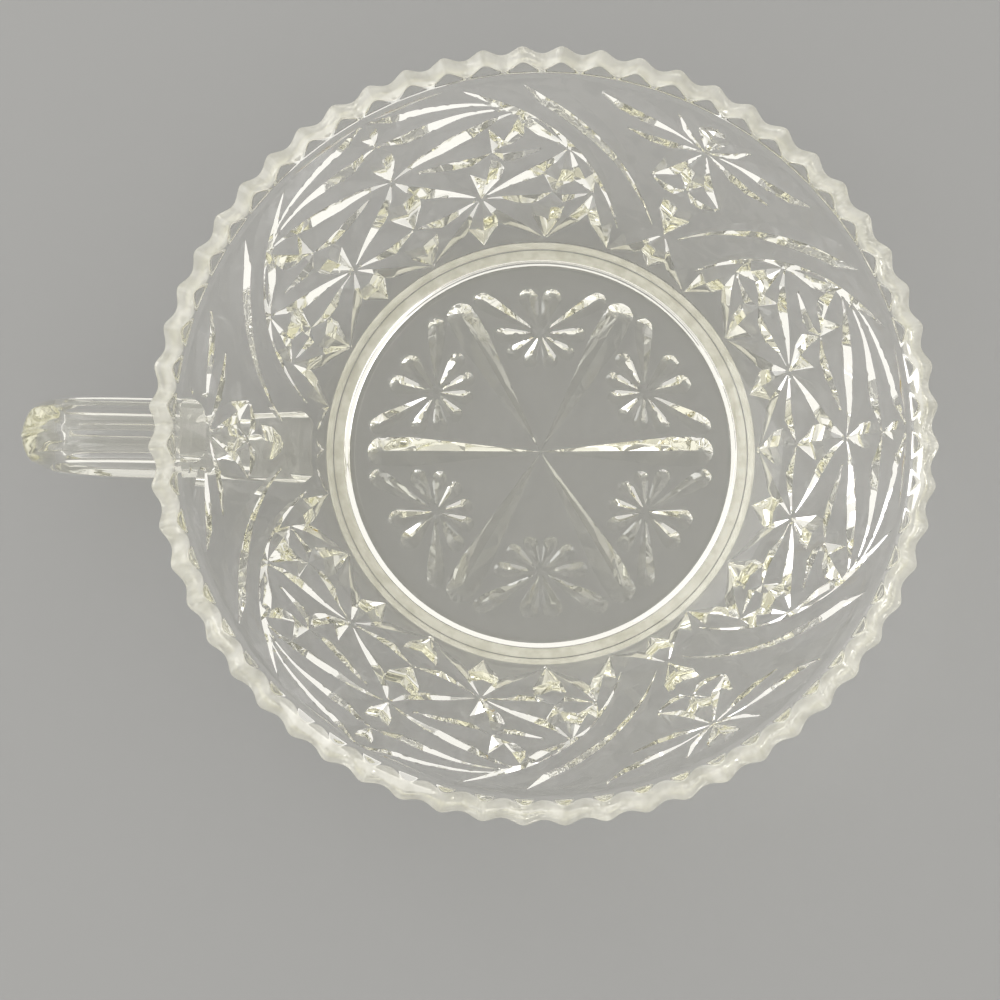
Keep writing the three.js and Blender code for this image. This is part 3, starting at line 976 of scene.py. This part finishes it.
    def _lines(self, share: Array) -> Array:
        """The band's long lines before they are ended, with the handle towards -X.

        Args:
            share: Places along the loop.

        Returns:
            Points as (station, corner, 3).
        """
        middle, ahead = self.line(share)
        across, out = self.outline(share)
        outward = np.stack([-ahead[:, 1], ahead[:, 0]], axis=-1)
        radius = middle[:, None, 0] + out * outward[:, None, 0]
        height = middle[:, None, 1] + out * outward[:, None, 1]
        return np.stack([-radius, across, height], axis=-1)

    def skin(self) -> tuple[Array, Numbers]:
        """The loop's closed skin, each of its long lines ended where it meets the wall.

        Returns:
            Points in millimetres and triangles.
        """
        share = np.linspace(0.0, 1.0, self.trials * self.stations + 1)
        lines = self._lines(share)
        radius = np.hypot(lines[..., 0], lines[..., 1])
        clear = radius > self.section.outside_radius(lines[..., 2]) - self.seat
        first = share[clear.argmax(0)]
        last = share[len(share) - 1 - clear[::-1].argmax(0)]
        even = np.linspace(0.0, 1.0, self.stations + 1)[:, None]
        exact = (first + (last - first) * even) * (len(share) - 1)
        column = np.arange(lines.shape[1])
        whole = np.clip(exact.astype(int), 0, len(share) - 2)
        rest = (exact - whole)[..., None]
        rings = lines[whole, column] * (1.0 - rest) + lines[whole + 1, column] * rest
        numbers = np.arange(rings.size // 3).reshape(rings.shape[:2])
        faces = np.concatenate([
            band_cells(numbers[:-1], numbers[1:]).reshape(-1, 3),
            fan_cells(numbers[0], numbers.size)[:, ::-1],
            fan_cells(numbers[-1], numbers.size + 1),
        ])
        ends = [rings[0].mean(0), rings[-1].mean(0)]
        return np.concatenate([rings.reshape(-1, 3), ends]), faces

    def build(self, axis_x: float) -> bpy.types.Object:
        """Makes the handle's piece and seats it on the frame.

        Args:
            axis_x: Where the bowl's axis stands along X in the row frame, in metres.

        Returns:
            The piece.
        """
        points, faces = self.skin()
        piece = new_piece("handle_glass", points, faces, axis_x)
        piece.data.set_sharp_from_angle(angle=self.crease_angle)
        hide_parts("handle")
        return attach(piece, "root")

    def dress(self, piece: bpy.types.Object, finish: PressedGlass) -> None:
        """Gives the handle its finish."""
        piece.data.materials.append(finish.material())


# Places on a half panel, as azimuth in degrees from the panel's middle and share of the wall's slant
KNOTS: dict[str, Pair] = {
    "panel_top": (0.0, 0.98),
    "panel_waist": (0.0, 0.83),
    "panel_heart": (0.0, 0.6),
    "panel_knee": (0.0, 0.28),
    "panel_foot": (0.0, 0.02),
    "fan_tip": (26.8, 0.8),
    "small_hub": (20.4, 0.57),
    "band_middle": (35.5, 0.585),
    "star_hub": (16.6, 0.31),
    "kite_hub": (32.8, 0.315),
    "band_low": (41.8, 0.335),
    "foot_near": (14.9, 0.02),
    "foot_middle": (31.3, 0.02),
    "foot_far": (48.2, 0.015),
    "big_star": (60.0, 0.795),
    "star_side": (52.2, 0.54),
    "star_below": (60.0, 0.54),
    "low_star": (60.0, 0.25),
    "low_star_foot": (60.0, 0.015),
    "ray_top": (60.0, 0.95),
    "ray_short": (53.0, 0.94),
    "ray_long": (39.4, 0.94),
    "ray_side": (45.0, 0.76),
}

# Mitres between two places, with half width in millimetres and the share of the length that is widest
WALL_MITRES: tuple[tuple[str, str, float, float], ...] = (
    ("panel_top", "panel_waist", 1.82, 0.4),
    ("panel_waist", "panel_heart", 2.6, 0.4),
    ("panel_heart", "panel_knee", 3.77, 0.5),
    ("panel_knee", "panel_foot", 3.8, 0.42),
    ("panel_heart", "small_hub", 2.47, 0.8),
    ("small_hub", "band_middle", 2.47, 0.18),
    ("fan_tip", "small_hub", 3.51, 0.5),
    ("fan_tip", "band_middle", 2.6, 0.3),
    ("band_middle", "star_hub", 3.12, 0.22),
    ("band_middle", "kite_hub", 3.38, 0.55),
    ("band_middle", "band_low", 2.6, 0.5),
    ("star_hub", "small_hub", 3.38, 0.65),
    ("star_hub", "panel_heart", 3.12, 0.78),
    ("star_hub", "panel_knee", 2.99, 0.5),
    ("star_hub", "panel_foot", 2.86, 0.35),
    ("star_hub", "foot_near", 3.38, 0.45),
    ("star_hub", "foot_middle", 2.86, 0.27),
    ("star_hub", "kite_hub", 2.6, 0.75),
    ("kite_hub", "band_low", 2.47, 0.3),
    ("kite_hub", "foot_middle", 3.64, 0.32),
    ("band_low", "foot_middle", 2.73, 0.3),
    ("band_low", "foot_far", 2.47, 0.35),
    ("big_star", "ray_top", 3.38, 0.8),
    ("big_star", "ray_short", 1.56, 0.5),
    ("big_star", "ray_long", 2.21, 0.73),
    ("big_star", "ray_side", 1.95, 0.55),
    ("big_star", "star_side", 2.34, 0.5),
    ("big_star", "star_below", 2.86, 0.6),
    ("star_side", "star_below", 1.95, 0.62),
    ("star_below", "low_star", 3.64, 0.38),
    ("low_star", "low_star_foot", 3.25, 0.5),
    ("low_star", "foot_far", 2.6, 0.45),
)

# The fan's mitres in the same form, which are bowed towards the rim
FAN_MITRES: tuple[tuple[str, str, float, float], ...] = (
    ("panel_top", "fan_tip", 2.86, 0.3),
    ("panel_waist", "fan_tip", 3.12, 0.25),
    ("panel_heart", "fan_tip", 3.25, 0.5),
)

# The swirl flutes, as start, bend and end
FLUTES: tuple[tuple[Pair, Pair, Pair], ...] = (
    ((16.0, 0.97), (38.0, 0.72), (50.2, 0.12)),
    ((27.0, 0.95), (42.0, 0.72), (57.5, 0.24)),
)


@dataclass
class GlassBowl:
    """The bowl as one closed skin: pressed base, foot ring, pressed wall, scalloped rim, smooth inside.

    Sizes are in millimetres and angles in degrees. The base's ray, rosette and petals are in shares of the
    base's radius, the ray as length and half width, each petal as angle, length and half width.
    """

    section: BowlSection
    handle: HandleLoop
    repeats: int = 3
    half_panel: float = 60.0
    panel_columns: int = 120
    wall_rows: int = 72
    wall_snap: float = 0.45
    mitre_slope: float = 0.7
    mitre_taper: float = 0.75
    fan_bow: float = 0.07
    flute_half_width: float = 2.5
    flute_depth: float = 1.75
    flute_rise: float = 0.14
    flute_fall: float = 0.6
    clear_aside: Pair = (0.3, 1.2)
    clear_above: Pair = (0.5, 1.5)
    base_panels: int = 6
    base_columns: int = 30
    base_rows: int = 56
    base_snap: float = 0.42
    base_held_rings: float = 2.5
    base_ray: Pair = (0.93, 0.08)
    base_rosette: float = 0.645
    base_petals: tuple[tuple[float, float, float], ...] = (
        (18.0, 0.26, 0.052),
        (60.0, 0.41, 0.048),
        (93.0, 0.25, 0.042),
        (127.0, 0.22, 0.04),
        (160.0, 0.2, 0.04),
    )
    base_slope: float = 0.75
    base_rise: float = 0.75
    rim_steps: int = 4
    foot_steps: int = 3
    inside_rows: tuple[int, int, int] = (24, 9, 6)
    wear_height: float = 0.25
    crease_angle: float = math.radians(17)

    def _wall_pattern(self) -> PressedPattern:
        """The wall's grooves on one half panel, with those that reach over from its two neighbours.

        Returns:
            The pattern, in degrees and shares of the wall's slant.
        """
        grooves = []
        for mitres, bow in ((WALL_MITRES, 0.0), (FAN_MITRES, self.fan_bow)):
            grooves += [self._mitre(KNOTS[a], KNOTS[b], *shape, bow) for a, b, *shape in mitres]
        flute = (self.flute_half_width, self.flute_depth, self.flute_rise, self.flute_fall)
        grooves += [Groove(start, end, *flute, corner) for start, corner, end in FLUTES]
        grooves += [g.mirrored(middle) for g in list(grooves) for middle in (0.0, self.half_panel)]
        scales = []
        for groove in grooves:
            middle = np.array([0.5 * (groove.start[1] + groove.end[1])])
            radius = self.section.wall(middle, np.zeros(1))[0][0]
            scales.append((radius * math.radians(1.0), self.section.wall_length))
        return PressedPattern(tuple(grooves), tuple(scales))

    def _mitre(self, start: Pair, end: Pair, half_width: float, widest: float, bow: float) -> Groove:
        """A kite-shaped mitre between two places, with a short level stretch about its widest share.

        Args:
            start: First end, as azimuth and share of the wall's slant.
            end: Last end.
            half_width: Distance from the valley to either edge, at the widest place.
            widest: Share of the length at which the mitre is widest.
            bow: How far the middle is bowed towards the rim, as a share of the wall's slant.

        Returns:
            The mitre's groove.
        """
        depth = half_width * self.mitre_slope
        rise, fall = self.mitre_taper * widest, self.mitre_taper * (1.0 - widest)
        middle = (0.5 * (start[0] + end[0]), 0.5 * (start[1] + end[1]) + bow)
        corner = middle if bow else None
        return Groove(start, end, half_width, depth, rise, fall, corner)

    def _base_pattern(self) -> PressedPattern:
        """The base's radial mitres and the petals of its rosettes, with those of both neighbours.

        Returns:
            The pattern, in millimetres on the base's plane.
        """
        radius = self.section.recess_radius
        panel = 360.0 / self.base_panels
        ray_length, ray_width = self.base_ray
        grooves = []
        for turn in (-panel, 0.0, panel):
            grooves.append(self._base_mitre(turn, 0.0, 0.0, ray_length * radius, ray_width * radius))
            middle = turn + 0.5 * panel
            for angle, length, width in self.base_petals:
                for way in (angle, -angle):
                    start = self.base_rosette * radius
                    grooves.append(self._base_mitre(middle, start, way, length * radius, width * radius))
        return PressedPattern(tuple(grooves), ((1.0, 1.0),) * len(grooves))

    def _base_mitre(self, azimuth: float, start: float, turn: float, length: float, width: float) -> Groove:
        """One round-ended mitre on the base, from a place on a radius, turned from that radius.

        Args:
            azimuth: The radius, in degrees.
            start: Distance of the mitre's start from the axis.
            turn: Angle from the radius to the mitre, in degrees.
            length: Length of the mitre.
            width: Distance from its valley to either edge.

        Returns:
            The mitre's groove.
        """
        out, ahead = math.radians(azimuth), math.radians(azimuth + turn)
        begin = (start * math.cos(out), start * math.sin(out))
        end = (begin[0] + length * math.cos(ahead), begin[1] + length * math.sin(ahead))
        rise = min(self.base_rise, 1.0 - width / length)
        return Groove(begin, end, width, width * self.base_slope, rise, 0.0)

    @staticmethod
    def _pressed(
        pattern: PressedPattern, places: Array, metric: Array, allow: Array, reach: float,
    ) -> tuple[Array, Array, Mask]:
        """A half panel's grid, moved onto the creases of its pattern, with the better diagonals.

        Args:
            pattern: The grooves.
            places: The grid's places on the surface, (row, column, 2).
            metric: Millimetres for one unit of each coordinate, as the places.
            allow: Projection of each place's free directions, (row, column, 2, 2).
            reach: Furthest that a place moves, in millimetres.

        Returns:
            The moved places, their depths, and True for each cell whose second diagonal lies closer to the
            pressed surface than its first.
        """
        shape = places.shape[:2]
        flat = pattern.snapped(places.reshape(-1, 2), metric.reshape(-1, 2), allow.reshape(-1, 2, 2), reach)
        depth = pattern.depth(flat).reshape(shape)
        moved = flat.reshape(*shape, 2)

        def miss(a: tuple[slice, slice], b: tuple[slice, slice]) -> Array:
            """How far the pressed depth half way along a diagonal is from its ends' mean."""
            middle = 0.5 * (moved[a] + moved[b])
            true_depth = pattern.depth(middle.reshape(-1, 2)).reshape(middle.shape[:2])
            return np.abs(true_depth - 0.5 * (depth[a] + depth[b]))

        low, high = slice(None, -1), slice(1, None)
        return moved, depth, miss((low, high), (high, low)) < miss((low, low), (high, high))

    @staticmethod
    def _tiled(azimuth: Array, half: float, repeats: int) -> Array:
        """Azimuths of one half panel, mirrored into a whole one and carried on round the bowl."""
        whole = np.concatenate([azimuth[:, :-1], 2.0 * half - azimuth[:, :0:-1]], axis=1)
        return np.concatenate([whole + 2.0 * half * i for i in range(repeats)], axis=1)

    @staticmethod
    def _mirrored(values: Array, repeats: int) -> Array:
        """Values at one half panel's points, mirrored into a whole one and repeated round the bowl."""
        return np.tile(np.concatenate([values[:, :-1], values[:, :0:-1]], axis=1), (1, repeats))

    @staticmethod
    def _mirrored_cells(turned: Mask, repeats: int) -> Mask:
        """The diagonals of one half panel's cells, mirrored, so each turns over, and repeated."""
        return np.tile(np.concatenate([turned, ~turned[:, ::-1]], axis=1), (1, repeats))

    def _wall_block(self) -> tuple[Array, Mask]:
        """The pressed wall, from the foot up to the crease under the rim band.

        Returns:
            Points as (ring, column, 3), and True for each cell that is split along its other diagonal.
        """
        section = self.section
        share, azimuth = np.meshgrid(
            np.linspace(0.0, section.crease_share, self.wall_rows + 1),
            np.linspace(0.0, self.half_panel, self.panel_columns + 1),
            indexing="ij",
        )
        radius = section.wall(share, np.zeros(share.shape))[0]
        metric = np.stack([radius * math.radians(1.0), np.full(share.shape, section.wall_length)], axis=-1)
        allow = np.zeros((*share.shape, 2, 2))
        allow[..., 0, 0] = (azimuth > ON_EDGE) & (azimuth < self.half_panel - ON_EDGE)
        allow[..., 1, 1] = (share > ON_EDGE) & (share < section.crease_share - ON_EDGE)
        places = np.stack([azimuth, share], axis=-1)
        reach = self.wall_snap * section.wall_length / self.wall_rows
        places, depth, turned = self._pressed(self._wall_pattern(), places, metric, allow, reach)
        azimuth = self._tiled(places[..., 0], self.half_panel, self.repeats)
        share = self._mirrored(places[..., 1], self.repeats)
        depth = self._mirrored(depth, self.repeats) * self._clear_of_handle(azimuth, share)
        radius, height = section.wall(share, -depth)
        return ring_points(azimuth, radius, height), self._mirrored_cells(turned, self.repeats)

    def _clear_of_handle(self, azimuth: Array, share: Array) -> Array:
        """1 where the pattern is pressed in full, easing to 0 under the handle's two roots.

        Args:
            azimuth: Azimuths in degrees.
            share: Shares of the wall's slant, as the azimuths.

        Returns:
            Factors for the pressed depths.
        """
        radius, height = self.section.wall(share, np.zeros(share.shape))
        aside = np.abs(radius * np.sin(np.radians(azimuth)))
        behind = np.cos(np.radians(azimuth)) < 0.0
        clear = np.ones(share.shape)
        for root in Root:
            near_side = 1.0 - smooth_step(aside - self.handle.root_half_width(root), *self.clear_aside)
            off = np.abs(height - self.handle.root_height(root)) - 0.5 * self.handle.thickness
            clear -= near_side * (1.0 - smooth_step(off, *self.clear_above)) * behind
        return np.clip(clear, 0.0, 1.0)

    def _base_block(self) -> tuple[Array, Mask]:
        """The pressed base, from the middle outwards.

        Returns:
            Points as (ring, column, 3), and True for each cell that is split along its other diagonal.
        """
        half = 180.0 / self.base_panels
        edge = self.section.recess_radius
        radius, azimuth = np.meshgrid(
            np.linspace(edge / self.base_rows, edge, self.base_rows),
            np.linspace(0.0, half, self.base_columns + 1),
            indexing="ij",
        )
        places = ring_points(azimuth, radius, 0.0)[..., :2]
        along = ring_points(azimuth, 1.0, 0.0)[..., :2]
        allow = np.broadcast_to(np.eye(2), (*radius.shape, 2, 2)).copy()
        on_side = (azimuth < ON_EDGE) | (azimuth > half - ON_EDGE)
        allow[on_side] = along[on_side, :, None] * along[on_side, None, :]
        allow[(radius > edge - ON_EDGE) | (radius < self.base_held_rings * edge / self.base_rows)] = 0.0
        metric = np.ones(places.shape)
        reach = self.base_snap * edge / self.base_rows
        places, depth, turned = self._pressed(self._base_pattern(), places, metric, allow, reach)
        azimuth = np.degrees(np.arctan2(places[..., 1], places[..., 0]))
        azimuth = self._tiled(azimuth, half, self.base_panels)
        radius = self._mirrored(np.hypot(places[..., 0], places[..., 1]), self.base_panels)
        height = self.section.recess_depth + self._mirrored(depth, self.base_panels)
        return ring_points(azimuth, radius, height), self._mirrored_cells(turned, self.base_panels)

    def skin(self) -> tuple[Skin, int, range]:
        """The whole skin, from the middle of the base round the wall and rim to the middle of the floor.

        Returns:
            The skin, how many of its points lie on the pressed outside, and the points of the rim's end
            face.
        """
        section = self.section
        skin = Skin()
        base, base_turned = self._base_block()
        skin.open_from(section.recess_depth, base[:1])
        skin.grid(base[1:], base_turned[1:])
        azimuth = np.linspace(0.0, 360.0, base.shape[1], endpoint=False)
        foot = section.foot_path(self.foot_steps)[1:-1]
        skin.grid(ring_points(azimuth[None], foot[:, :1], foot[:, 1:]))
        skin.grid(*self._wall_block())
        pressed = skin.count
        azimuth = np.linspace(0.0, 360.0, len(skin.last), endpoint=False)
        rim = section.rim_path(section.scallop_fall(azimuth), self.rim_steps)[2:]
        outer_edge = self.rim_steps + self.rim_steps // 2
        inner_edge = outer_edge + self.rim_steps + 2
        rings = ring_points(azimuth[None], rim[..., 0], rim[..., 1])
        lip, face, throat = np.split(rings, (outer_edge, inner_edge))
        skin.grid(lip)
        face_start = skin.count
        skin.grid(face)
        end_face = range(face_start, skin.count)
        skin.grid(throat)
        inside = section.inside_path(*self.inside_rows)
        for thinning, rows in ((2, inside[:2]), (4, inside[2:])):
            skin.grid(ring_points(azimuth[None, ::thinning], rows[:, :1], rows[:, 1:]))
        skin.pole(section.floor_height)
        return skin, pressed, end_face

    def build(self, axis_x: float) -> bpy.types.Object:
        """Makes the bowl's piece and seats it on the frame.

        Args:
            axis_x: Where the bowl's axis stands along X in the row frame, in metres.

        Returns:
            The piece, whose faces are numbered 0 for the glass, 1 for the foot and 2 for the rim's end.
        """
        skin, pressed, end_face = self.skin()
        points, faces = np.concatenate(skin.points), np.concatenate(skin.faces)
        piece = new_piece("bowl_glass", points, faces, axis_x)
        worn = points[faces, 2].max(1) < self.wear_height
        on_rim = (faces.min(1) >= end_face.start) & (faces.max(1) < end_face.stop)
        piece.data.polygons.foreach_set("material_index", (worn + 2 * on_rim).astype(np.int32))
        self._sharpen(piece.data, pressed)
        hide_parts("bowl")
        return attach(piece, "root")

    def _sharpen(self, mesh: bpy.types.Mesh, pressed: int) -> None:
        """Makes the pressed outside's creases sharp, and leaves the rim and the inside smooth.

        Args:
            mesh: The bowl's mesh.
            pressed: How many of its points, from the first, lie on the pressed outside.
        """
        mesh.set_sharp_from_angle(angle=self.crease_angle)
        sharp = np.empty(len(mesh.edges), dtype=bool)
        ends = np.empty(2 * len(mesh.edges), dtype=np.int32)
        marks = mesh.attributes["sharp_edge"].data
        marks.foreach_get("value", sharp)
        mesh.edges.foreach_get("vertices", ends)
        marks.foreach_set("value", sharp & (ends.reshape(-1, 2).max(1) < pressed))

    def dress(self, piece: bpy.types.Object, *finishes: PressedGlass | ScuffedGlass) -> None:
        """Gives the bowl its finishes: the glass, the foot's standing face and the rim's end face."""
        for finish in finishes:
            piece.data.materials.append(finish.material())


@dataclass
class Studio:
    """A pale floor, an even sky, a soft lamp and the camera above the bowl, in metres."""

    axis_x: float
    floor_drop: float = 0.0002
    floor_size: float = 6.0
    floor_colour: Colour = (0.4, 0.4, 0.4)
    floor_roughness: float = 0.9
    floor_specular: float = 0.1
    sky_levels: tuple[Pair, ...] = ((0.1, 1.05), (0.5, 0.98), (0.65, 0.75))
    sky_colour: Colour = (1.0, 0.985, 0.94)
    lamp_place: Place = (-1.5, 0.9, 1.6)
    lamp_size: float = 2.0
    lamp_power: float = 18.0
    lamp_aim_height: float = 0.02
    camera_height: float = 0.4142
    camera_offset: Pair = (-0.0071, -0.0646)
    aim_offset: Pair = (-0.0084, -0.0096)
    field_of_view: float = math.radians(28.07)
    nearest_seen: float = 0.01
    glass_bounces: int = 32

    def floor(self) -> bpy.types.Object:
        """Makes the floor, a square just under the foot ring.

        Returns:
            The floor.
        """
        half = self.floor_size / 2
        corners = [(-half, -half), (half, -half), (half, half), (-half, half)]
        mesh = bpy.data.meshes.new("floor")
        mesh.from_pydata([(x, y, -self.floor_drop) for x, y in corners], [], [(0, 1, 2, 3)])
        floor = add_object("floor", mesh)
        paint = bpy.data.materials.new("floor_paint")
        paint.use_nodes = True
        shader = paint.node_tree.nodes["Principled BSDF"]
        shader.inputs["Base Color"].default_value = (*self.floor_colour, 1.0)
        shader.inputs["Roughness"].default_value = self.floor_roughness
        shader.inputs["Specular IOR Level"].default_value = self.floor_specular
        mesh.materials.append(paint)
        return floor

    def sky(self) -> None:
        """Sets the world, whose level falls from the horizon to overhead."""
        world = bpy.data.worlds.new("studio")
        world.use_nodes = True
        tree = world.node_tree
        way, split, ramp = (add_node(tree, kind) for kind in ("TexCoord", "SeparateXYZ", "ValToRGB"))
        stops = ramp.color_ramp.elements
        stops.remove(stops[1])
        for index, (height, level) in enumerate(self.sky_levels):
            stop = stops[0] if index == 0 else stops.new(height)
            stop.position = height
            stop.color = (*(level * value for value in self.sky_colour), 1.0)
        tree.links.new(way.outputs["Generated"], split.inputs["Vector"])
        tree.links.new(split.outputs["Z"], ramp.inputs["Fac"])
        tree.links.new(ramp.outputs["Color"], tree.nodes["Background"].inputs["Color"])
        bpy.context.scene.world = world

    def lamp(self) -> bpy.types.Object:
        """Adds a square area lamp that faces the bowl.

        Returns:
            The lamp.
        """
        light = bpy.data.lights.new("window", "AREA")
        light.size = self.lamp_size
        light.energy = self.lamp_power
        lamp = add_object("window", light)
        lamp.location = self.lamp_place
        aim = Vector((self.axis_x, 0.0, self.lamp_aim_height)) - lamp.location
        lamp.rotation_euler = aim.to_track_quat("-Z", "Y").to_euler()
        return lamp

    def camera(self) -> bpy.types.Object:
        """Adds the camera, almost straight above the bowl.

        Returns:
            The camera.
        """
        lens = bpy.data.cameras.new("camera")
        lens.sensor_fit = "HORIZONTAL"
        lens.angle = self.field_of_view
        lens.clip_start = self.nearest_seen
        camera = add_object("camera", lens)
        camera.location = (self.axis_x + self.camera_offset[0], self.camera_offset[1], self.camera_height)
        aim = Vector((self.axis_x + self.aim_offset[0], self.aim_offset[1], 0.0))
        back = (camera.location - aim).normalized()
        right = Vector((0.0, 1.0, 0.0)).cross(back).normalized()
        camera.rotation_euler = Matrix((right, back.cross(right), back)).transposed().to_euler()
        bpy.context.scene.camera = camera
        return camera

    def view(self) -> None:
        """Sets the plain view transform, and lets light bounce often enough inside the glass."""
        scene = bpy.context.scene
        scene.view_settings.view_transform = "Standard"
        scene.cycles.max_bounces = self.glass_bounces
        scene.cycles.glossy_bounces = self.glass_bounces
        scene.cycles.transmission_bounces = self.glass_bounces


def main() -> None:
    """Builds the bowl, the handle and the studio, and reports each piece."""
    logging.basicConfig(level=logging.INFO, format="%(message)s")
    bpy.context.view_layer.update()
    low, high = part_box("bowl")
    axis_x = 0.5 * (low.x + high.x)
    section = BowlSection()
    handle = HandleLoop(section)
    bowl = GlassBowl(section, handle)
    bowl_piece = bowl.build(axis_x)
    foot = ScuffedGlass("worn_foot", clearness=0.05, haze=1.0)
    rim = ScuffedGlass("soft_rim", clearness=0.6, haze=0.03)
    bowl.dress(bowl_piece, PressedGlass("bowl_glass"), foot, rim)
    handle_piece = handle.build(axis_x)
    handle.dress(handle_piece, PressedGlass("handle_glass"))
    for piece in (bowl_piece, handle_piece):
        log.info("%s: %d triangles", piece.name, len(piece.data.polygons))
    studio = Studio(axis_x)
    studio.floor()
    studio.sky()
    studio.lamp()
    studio.camera()
    studio.view()


if __name__ == "__main__":
    main()
